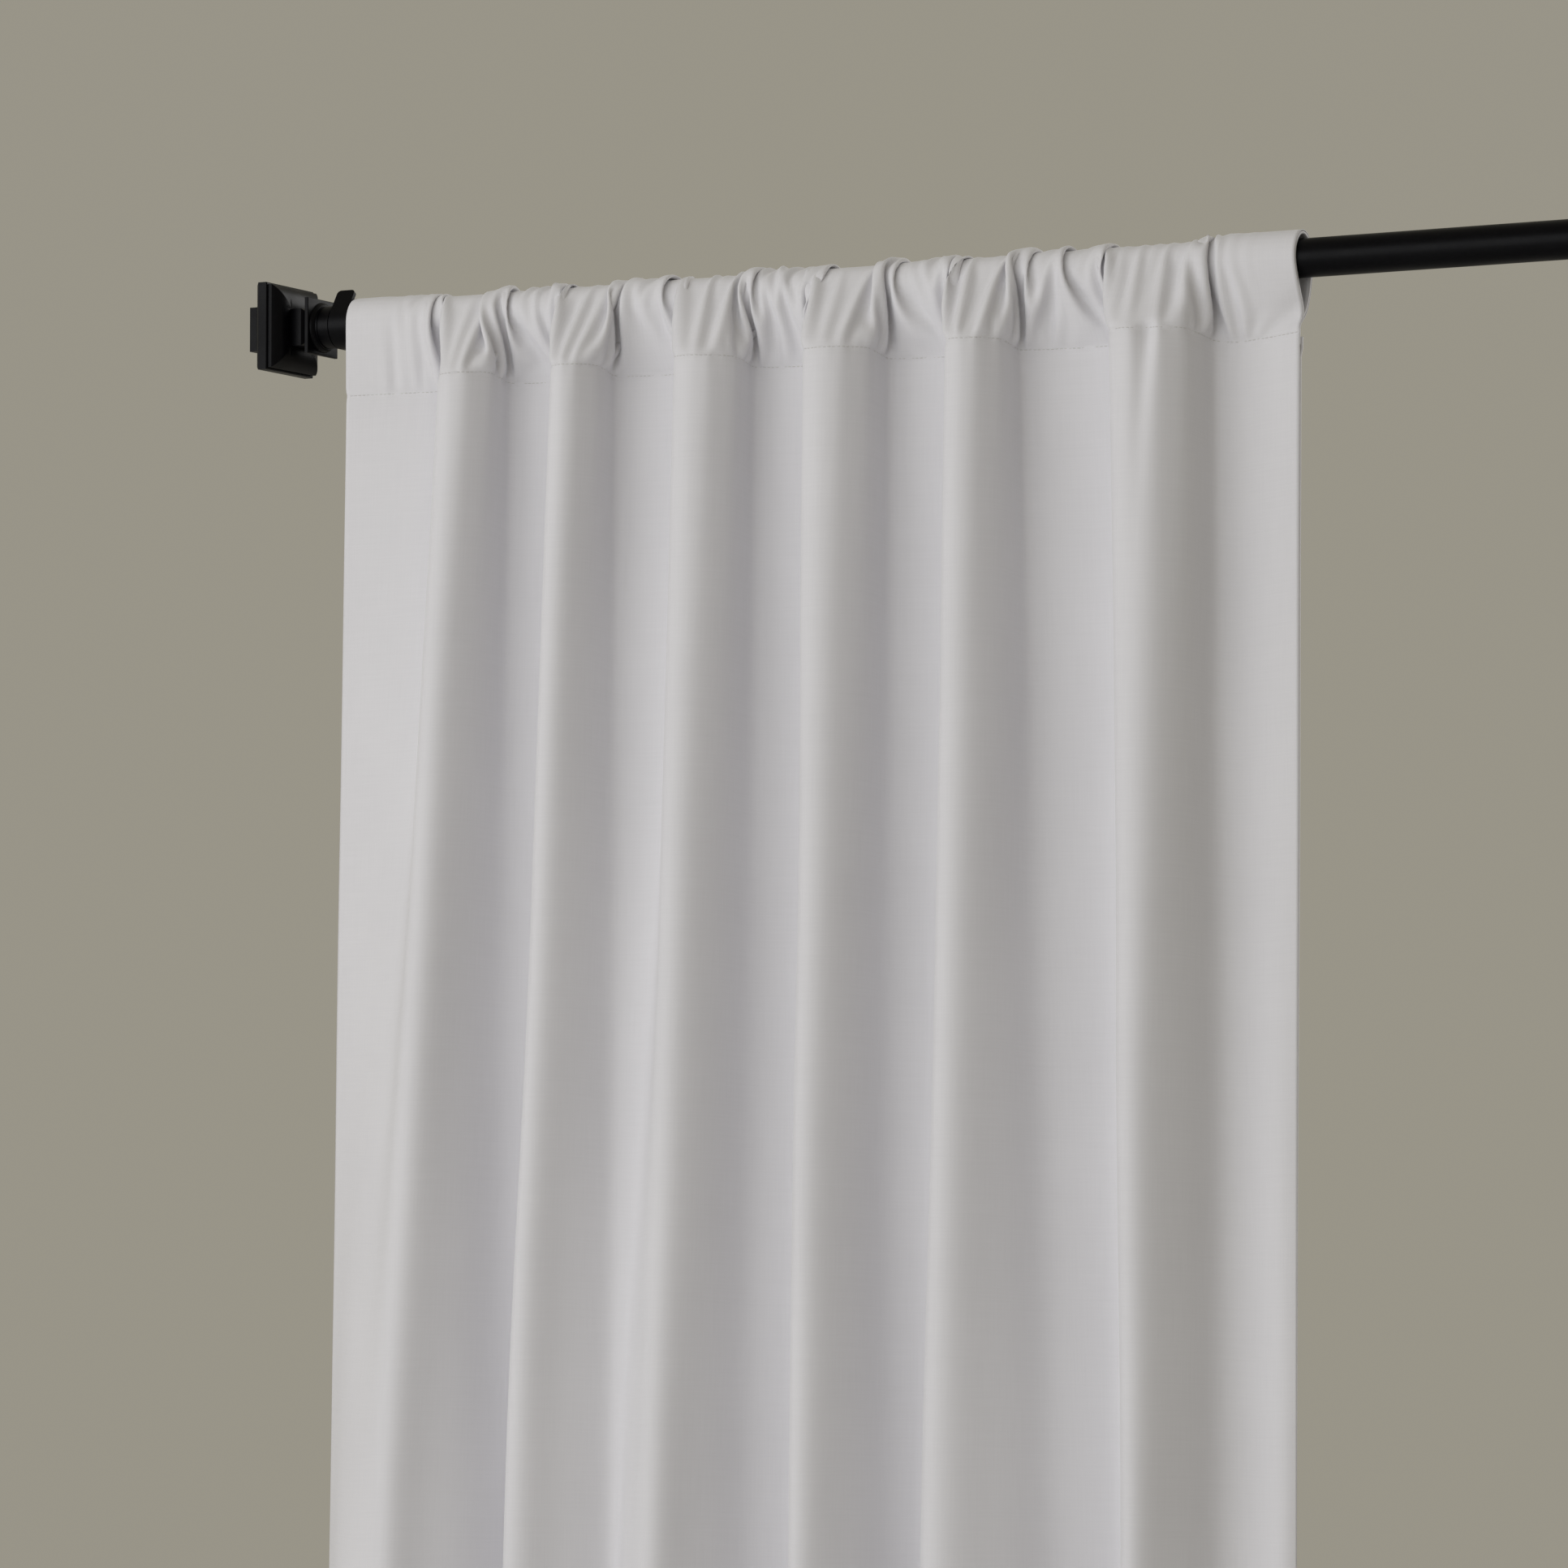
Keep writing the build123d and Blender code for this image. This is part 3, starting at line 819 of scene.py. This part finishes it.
def stitches(points, normals):
    """One short thread for each stitch along a line of points; normals face out of the cloth."""
    run = np.concatenate([[0], np.cumsum(np.linalg.norm(np.diff(points, axis=0), axis=1))])
    starts = np.arange(1.5, run[-1] - STITCH - 1, STITCH_PITCH)
    verts, faces = [], []
    around = np.arange(THREAD_SIDES) * np.pi / 3
    for begin in starts:
        base = len(verts)
        for t, thick, lift in STITCH_STATIONS:
            d = begin + t * STITCH
            p = np.array([np.interp(d, run, points[:, k]) for k in range(3)])
            q = np.array([np.interp(d + 0.5, run, points[:, k]) for k in range(3)])
            n = np.array([np.interp(d, run, normals[:, k]) for k in range(3)])
            along = q - p
            along /= np.linalg.norm(along) + 1e-9
            n -= along * (n @ along)
            n /= np.linalg.norm(n)
            side = np.cross(along, n)
            centre = p + n * (THREAD_RADIUS * (THREAD_SINK + lift))
            r = THREAD_RADIUS * thick
            verts.extend(centre + side * r * math.cos(a) + n * r * 0.8 * math.sin(a) for a in around)
        for k in range(len(STITCH_STATIONS) - 1):
            b = base + THREAD_SIDES * k
            for j in range(THREAD_SIDES):
                after = (j + 1) % THREAD_SIDES
                faces.append([b + j, b + after, b + THREAD_SIDES + after, b + THREAD_SIDES + j])
        last = base + THREAD_SIDES * (len(STITCH_STATIONS) - 1)
        faces.append([base + j for j in range(THREAD_SIDES - 1, -1, -1)])
        faces.append([last + j for j in range(THREAD_SIDES)])
    return np.array(verts), faces


def thread_piece(name, lines):
    """One piece from the stitches along several lines."""
    verts, faces, base = [], [], 0
    for points, normals in lines:
        v, f = stitches(points, normals)
        verts.append(v)
        faces += [[i + base for i in face] for face in f]
        base += len(v)
    return add_object(name, mesh_from(name, to_frame(np.concatenate(verts)), faces))


def across_line(u, v, row_range, off):
    """A line across the cloth at one height, a little off it towards the wall."""
    return surface_point(u, np.full_like(u, v), row_range, np.zeros_like(u) + off)


def edge_line(u, low, high, off):
    """A line up the cloth beside its edge."""
    v = np.linspace(low, high, 900)
    return surface_point(np.full_like(v, u), v, BODY_RANGE, np.full_like(v, off))


fine_u = np.linspace(0.5, FLAT_WIDTH - 0.5, 1400)
front_line, front_n = across_line(fine_u, 0.0, BODY_RANGE, 0.0)
back_line, back_n = across_line(fine_u, LOOP_LENGTH, LOOP_RANGE, 0.0)
pocket_thread = thread_piece("pocket_seam_stitches", [(front_line, -front_n), (back_line, -back_n)])

SIDE_STITCHES_IN = SIDE_HEM_WIDTH - 3
HEM_STITCHES_UP = HEM_HEIGHT - 3
hem_back = THICKNESS + GAP + HEM_THICKNESS
side_low, side_high = -BODY_LENGTH + HEM_HEIGHT + 2, -18.0
left_thread = thread_piece("side_hem_stitches_left", [
    edge_line(SIDE_STITCHES_IN, side_low, side_high, hem_back)])
right_thread = thread_piece("side_hem_stitches_right", [
    edge_line(FLAT_WIDTH - SIDE_STITCHES_IN, side_low, side_high, hem_back)])
hem_line_u = np.linspace(1.0, FLAT_WIDTH - 1.0, 1400)
hem_line_edge = np.minimum(hem_line_u, FLAT_WIDTH - hem_line_u)
hem_line_off = hem_back + smoothstep((SIDE_HEM_WIDTH + 7 - hem_line_edge) / 6) * (HEM_THICKNESS + GAP)
hem_thread = thread_piece("bottom_hem_stitches", [
    across_line(hem_line_u, HEM_STITCHES_UP - BODY_LENGTH, BODY_RANGE, hem_line_off)])

# ---------------------------------------------------------------- materials


def material(name):
    made = bpy.data.materials.new(name)
    made.use_nodes = True
    tree = made.node_tree
    tree.nodes.clear()
    out = tree.nodes.new("ShaderNodeOutputMaterial")
    shader = tree.nodes.new("ShaderNodeBsdfPrincipled")
    tree.links.new(shader.outputs["BSDF"], out.inputs["Surface"])
    return made, tree, shader


def node(tree, kind, inputs=None, **settings):
    made = tree.nodes.new(kind)
    for key, value in settings.items():
        setattr(made, key, value)
    for key, value in (inputs or {}).items():
        if isinstance(value, bpy.types.NodeSocket):
            tree.links.new(value, made.inputs[key])
        else:
            made.inputs[key].default_value = value
    return made


def maths(tree, operation, a, b=0.0, c=0.0):
    made = tree.nodes.new("ShaderNodeMath")
    made.operation = operation
    for socket, value in zip(made.inputs, (a, b, c)):
        if isinstance(value, bpy.types.NodeSocket):
            tree.links.new(value, socket)
        else:
            socket.default_value = value
    return made.outputs[0]


def noise(tree, place, scale, detail):
    made = node(tree, "ShaderNodeTexNoise", {"Vector": place, "Scale": scale, "Detail": detail})
    return made.outputs["Fac"]


def stretched(tree, place, scale):
    return node(tree, "ShaderNodeMapping", {"Vector": place, "Scale": scale}).outputs["Vector"]


def bump_on(tree, shader, height, strength, distance):
    bumped = node(tree, "ShaderNodeBump", {"Height": height, "Strength": strength, "Distance": distance})
    tree.links.new(bumped.outputs["Normal"], shader.inputs["Normal"])


def ramp(tree, value, low, high, to_low, to_high):
    made = node(tree, "ShaderNodeMapRange", {"Value": value, "From Min": low, "From Max": high,
                                             "To Min": to_low, "To Max": to_high})
    return made.outputs["Result"]


def mix_colour(tree, factor, a, b):
    made = node(tree, "ShaderNodeMix", data_type="RGBA")
    for index, value in ((0, factor), (6, a), (7, b)):
        if isinstance(value, bpy.types.NodeSocket):
            tree.links.new(value, made.inputs[index])
        else:
            made.inputs[index].default_value = value
    return made.outputs[2]


def woven(name, light, dark, thread, roughness, sheen, bump, nap_height):
    """Plain woven cloth: warp and weft threads, slubs, faint bars of tone and a soft nap."""
    made, tree, shader = material(name)
    uv = node(tree, "ShaderNodeUVMap", uv_map="cloth").outputs["UV"]
    parts = node(tree, "ShaderNodeSeparateXYZ", {"Vector": uv})
    across, up = parts.outputs["X"], parts.outputs["Y"]
    turns = 2 * math.pi / thread
    shift = maths(tree, "MULTIPLY", noise(tree, uv, 90.0, 2.0), 5.0)
    warp = maths(tree, "SINE", maths(tree, "MULTIPLY_ADD", across, turns, shift))
    weft = maths(tree, "SINE", maths(tree, "MULTIPLY_ADD", up, turns, shift))
    over = maths(tree, "MULTIPLY", warp, weft)
    ridge = maths(tree, "MAXIMUM", maths(tree, "ABSOLUTE", warp), maths(tree, "ABSOLUTE", weft))
    weave = maths(tree, "MULTIPLY_ADD", over, 0.5, ridge)
    slub_up = noise(tree, stretched(tree, uv, (900.0, 26.0, 1.0)), 1.0, 3.0)
    slub_across = noise(tree, stretched(tree, uv, (22.0, 800.0, 1.0)), 1.0, 3.0)
    slubs = maths(tree, "ADD", slub_up, slub_across)
    nap = noise(tree, uv, 1500.0, 3.0)
    broad = noise(tree, uv, 9.0, 3.0)
    tone = maths(tree, "MULTIPLY_ADD", ramp(tree, slubs, 0.7, 1.3, 0.0, 1.0), 0.45,
                 maths(tree, "MULTIPLY_ADD", ramp(tree, broad, 0.3, 0.7, 0.0, 1.0), 0.35,
                       maths(tree, "MULTIPLY", nap, 0.25)))
    rough = ramp(tree, slubs, 0.7, 1.3, roughness + 0.05, roughness - 0.06)
    tree.links.new(mix_colour(tree, tone, dark, light), shader.inputs["Base Color"])
    tree.links.new(rough, shader.inputs["Roughness"])
    shader.inputs["Sheen Weight"].default_value = sheen
    shader.inputs["Sheen Roughness"].default_value = 0.55
    shader.inputs["Specular IOR Level"].default_value = 0.28
    threads = maths(tree, "MULTIPLY_ADD", slubs, 0.5, maths(tree, "MULTIPLY", nap, nap_height))
    bump_on(tree, shader, maths(tree, "MULTIPLY_ADD", weave, 0.5, threads), bump, 0.00012)
    return made


def coated_metal(name, base, worn, roughness, grain, metallic=0.0, wear=0.5, bump=0.25, specular=0.5):
    """Painted or plated metal: a fine orange-peel grain, dust-dull patches and rubbed edges."""
    made, tree, shader = material(name)
    place = node(tree, "ShaderNodeTexCoord").outputs["Object"]
    peel = noise(tree, place, grain, 3.0)
    patches = noise(tree, place, 38.0, 5.0)
    scuffs = noise(tree, place, 420.0, 4.0)
    edges = node(tree, "ShaderNodeNewGeometry").outputs["Pointiness"]
    rubbed = maths(tree, "MULTIPLY", ramp(tree, edges, 0.53, 0.60, 0.0, 1.0),
                   ramp(tree, scuffs, 0.42, 0.66, 0.0, wear))
    rough = maths(tree, "ADD", ramp(tree, patches, 0.3, 0.7, -0.06, 0.08),
                  ramp(tree, peel, 0.3, 0.7, roughness - 0.03, roughness + 0.03))
    tree.links.new(mix_colour(tree, rubbed, base, worn), shader.inputs["Base Color"])
    tree.links.new(rough, shader.inputs["Roughness"])
    shader.inputs["Metallic"].default_value = metallic
    shader.inputs["Specular IOR Level"].default_value = specular
    bump_on(tree, shader, peel, bump, 0.00015)
    return made


def sewing_thread(name, light, dark):
    """Twisted polyester thread."""
    made, tree, shader = material(name)
    place = node(tree, "ShaderNodeTexCoord").outputs["Object"]
    twist = node(tree, "ShaderNodeTexWave", {"Vector": place, "Scale": 900.0, "Distortion": 1.5},
                 bands_direction="DIAGONAL").outputs["Fac"]
    fibres = noise(tree, place, 5000.0, 2.0)
    tree.links.new(mix_colour(tree, fibres, dark, light), shader.inputs["Base Color"])
    tree.links.new(ramp(tree, fibres, 0.3, 0.7, 0.5, 0.68), shader.inputs["Roughness"])
    shader.inputs["Sheen Weight"].default_value = 0.2
    bump_on(tree, shader, maths(tree, "ADD", twist, fibres), 0.4, 0.00008)
    return made


CLOTH_LIGHT = (0.720, 0.713, 0.742, 1)
CLOTH_DARK = (0.670, 0.663, 0.692, 1)
LABEL_LIGHT = (0.80, 0.80, 0.78, 1)
LABEL_DARK = (0.70, 0.70, 0.69, 1)
BLACK = (0.0011, 0.0011, 0.0019, 1)
BLACK_WORN = (0.005, 0.005, 0.006, 1)
ZINC = (0.52, 0.52, 0.50, 1)
ZINC_WORN = (0.70, 0.70, 0.68, 1)


def satin_black(name, roughness, grain):
    return coated_metal(name, BLACK, BLACK_WORN, roughness, grain, wear=0.2, bump=0.12, specular=0.09)


cloth_material = woven("curtain_cloth_weave", CLOTH_LIGHT, CLOTH_DARK, 0.00045, 0.80, 0.20, 0.25, 0.5)
label_material = woven("label_satin", LABEL_LIGHT, LABEL_DARK, 0.00025, 0.5, 0.1, 0.25, 0.2)
stitch_material = sewing_thread("sewing_thread_twist", (0.64, 0.63, 0.62, 1), (0.50, 0.49, 0.485, 1))
tube_paint = satin_black("tube_satin_black", 0.36, 1500.0)
finial_paint = satin_black("finial_satin_black", 0.38, 1300.0)
bracket_paint = satin_black("bracket_satin_black", 0.40, 1100.0)
steel = coated_metal("zinc_plated_steel", ZINC, ZINC_WORN, 0.33, 2200.0, metallic=1.0, bump=0.12)
weight_metal = coated_metal("weight_metal_grey", (0.33, 0.33, 0.34, 1), (0.5, 0.5, 0.5, 1), 0.45, 900.0,
                            metallic=1.0)

for piece in (sheet, side_hem_left, side_hem_right, bottom_hem):
    piece.data.materials.append(cloth_material)
for piece in (pocket_thread, left_thread, right_thread, hem_thread):
    piece.data.materials.append(stitch_material)
for piece in (weight_left, weight_right):
    piece.data.materials.append(weight_metal)
label.data.materials.append(label_material)

HARDWARE = {
    "rod_tube": tube_paint, "end_plug": steel, "finial_stud": steel, "finial_collar": finial_paint,
    "finial_plate": finial_paint, "finial_body": finial_paint, "finial_cap": finial_paint,
    "wall_plate": bracket_paint, "bracket_arm": bracket_paint, "cradle_strap": bracket_paint,
    "cradle_screw": steel,
}
for name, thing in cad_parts.items():
    kind = name.replace("_left", "").replace("_right", "")
    if kind in HARDWARE:
        for place in thing.material_slots:
            place.link = "OBJECT"
            place.material = HARDWARE[kind]

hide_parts("face_cloth", "rod_pocket")
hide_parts("side_hem_left")
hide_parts("side_hem_right")
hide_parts("bottom_hem")
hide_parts("hem_weight_left")
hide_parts("hem_weight_right")
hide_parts("care_label")
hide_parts("pocket_seam_thread")
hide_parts("side_hem_thread_left")
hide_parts("side_hem_thread_right")
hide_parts("bottom_hem_thread")
for piece in (sheet, side_hem_left, bottom_hem, weight_left, label, pocket_thread, left_thread, hem_thread):
    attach(piece, "panel")
    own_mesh(piece)
for piece in (side_hem_right, weight_right, right_thread):
    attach(piece, "leading_edge")
    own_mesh(piece)

# ---------------------------------------------------------------- floor, light
FLOOR_BELOW = 0.035
FLOOR_HALF = 7.0
floor_z = PANEL_BOTTOM - FLOOR_BELOW
floor_corners = [[x * FLOOR_HALF, y * FLOOR_HALF, floor_z] for x, y in ((-1, -1), (1, -1), (1, 1), (-1, 1))]
floor_mesh = mesh_from("floor", np.array(floor_corners), np.array([[0, 1, 2, 3]]))
floor = add_object("floor", floor_mesh)
floor_material, tree, shader = material("pale_floor")
shader.inputs["Base Color"].default_value = (0.62, 0.61, 0.59, 1)
shader.inputs["Roughness"].default_value = 0.85
floor.data.materials.append(floor_material)

world = bpy.data.worlds.new("studio")
world.use_nodes = True
world.node_tree.nodes["Background"].inputs["Color"].default_value = (0.317, 0.298, 0.247, 1)
world.node_tree.nodes["Background"].inputs["Strength"].default_value = 1.0
bpy.context.scene.world = world
bpy.context.scene.view_settings.view_transform = "Standard"


def area_light(name, place, aim, size, watts, colour=(1, 1, 1)):
    data = bpy.data.lights.new(name, "AREA")
    data.shape = "RECTANGLE"
    data.size, data.size_y = size
    data.energy = watts
    data.color = colour
    lamp = bpy.data.objects.new(name, data)
    bpy.context.scene.collection.objects.link(lamp)
    lamp.location = place
    lamp.rotation_euler = (Vector(aim) - Vector(place)).to_track_quat("-Z", "Y").to_euler()
    return lamp


area_light("key", (-3.55, -4.0, 0.55), (-0.1, -0.1, -0.6), (3.2, 3.2), 88.0, (0.97, 0.98, 1.0))
area_light("fill", (-0.35, -5.0, 0.1), (-0.1, -0.1, -0.6), (3.6, 3.6), 70.0, (0.95, 0.97, 1.0))
area_light("back", (1.5, 3.0, 1.2), (-0.1, -0.1, -0.6), (2.5, 2.5), 60.0)
